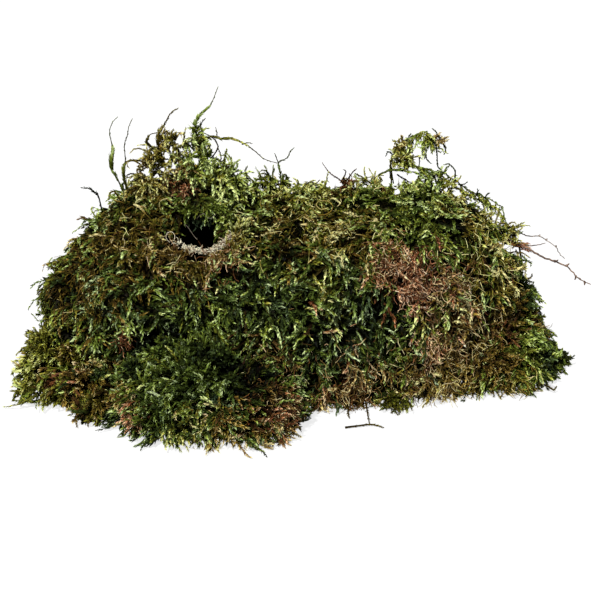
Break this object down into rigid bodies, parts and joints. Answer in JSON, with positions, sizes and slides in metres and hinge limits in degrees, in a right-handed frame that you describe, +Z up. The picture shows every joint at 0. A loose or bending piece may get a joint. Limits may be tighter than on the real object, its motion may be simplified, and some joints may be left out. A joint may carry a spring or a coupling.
{
  "type": "moss clump",
  "caption": "Loose clump of feather moss: a folded leafy mat with a hollow near its top, smaller cushions at its foot, frayed crests of long shoots and a thin reddish twig.",
  "frame": {"origin": "on the flat underside, under the middle of the clump's bounding box", "axes": "+X along the clump towards the end with the thin reddish twig, +Y from the front with the hollow's lip to the back, +Z up"},
  "size_m": [0.1932, 0.1012, 0.0982],
  "materials": {
    "moss": "matt, fibrous, mid to dark green leafy shoots over dark brown thatch",
    "bright_moss": "matt, fibrous, fresh green fine shoots",
    "olive_moss": "matt, fibrous, olive to yellow green shoots",
    "shade_moss": "matt, fibrous, dull dark green shoots with brown tips",
    "crest_moss": "matt, thin long shoots, light green to golden brown",
    "twig": "matt, bare reddish brown stem"
  },
  "bodies": {
    "root": {"moss_mound": "moss", "front_cushion": "bright_moss", "left_cushion": "olive_moss", "right_flap": "shade_moss", "left_crest": "crest_moss", "ridge_crest": "crest_moss", "right_crest": "crest_moss", "tall_strand": "crest_moss", "back_strand": "crest_moss", "leaning_strand": "crest_moss", "arched_strand": "crest_moss", "forked_strand": "crest_moss", "right_twig": "twig", "thin_runner": "twig"}
  },
  "joints": []
}
